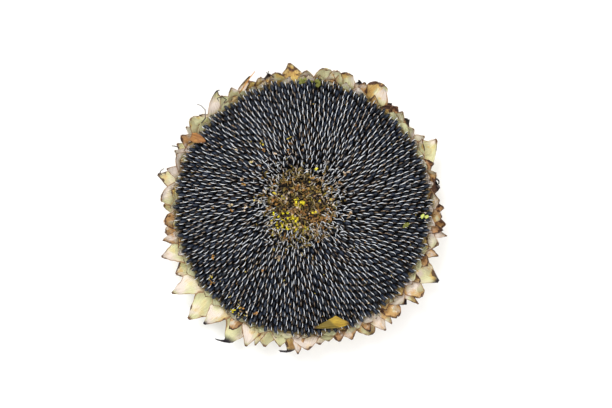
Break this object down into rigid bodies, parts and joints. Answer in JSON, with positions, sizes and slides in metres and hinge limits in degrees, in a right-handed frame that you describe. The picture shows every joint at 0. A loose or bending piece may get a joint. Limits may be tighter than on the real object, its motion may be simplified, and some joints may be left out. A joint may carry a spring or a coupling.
{
  "type": "sunflower seed head",
  "caption": "Ripe sunflower head lying face up: a low dome of black seeds in spirals, dried florets at its heart, short pointed bracts round the rim and a cut stalk behind.",
  "frame": {"origin": "middle of the flat cut across the stalk, which the head rests on", "axes": "+Z out of the seeds' face, +Y the picture's up, +X the picture's right"},
  "size_m": [0.2021, 0.2022, 0.0458],
  "materials": {
    "receptacle": "matt, spongy, pale yellow-green",
    "seeds": "satin blue-black hulls",
    "florets": "matt, dry, brown",
    "bracts": "matt, dry, cream and pale green",
    "petals": "matt, withered, golden brown"
  },
  "bodies": {
    "root": {"receptacle": "receptacle", "seeds": "seeds", "dried_florets": "florets", "upper_bracts": "bracts", "lower_bracts": "bracts", "withered_petal_1": "petals", "withered_petal_2": "petals"}
  },
  "joints": []
}
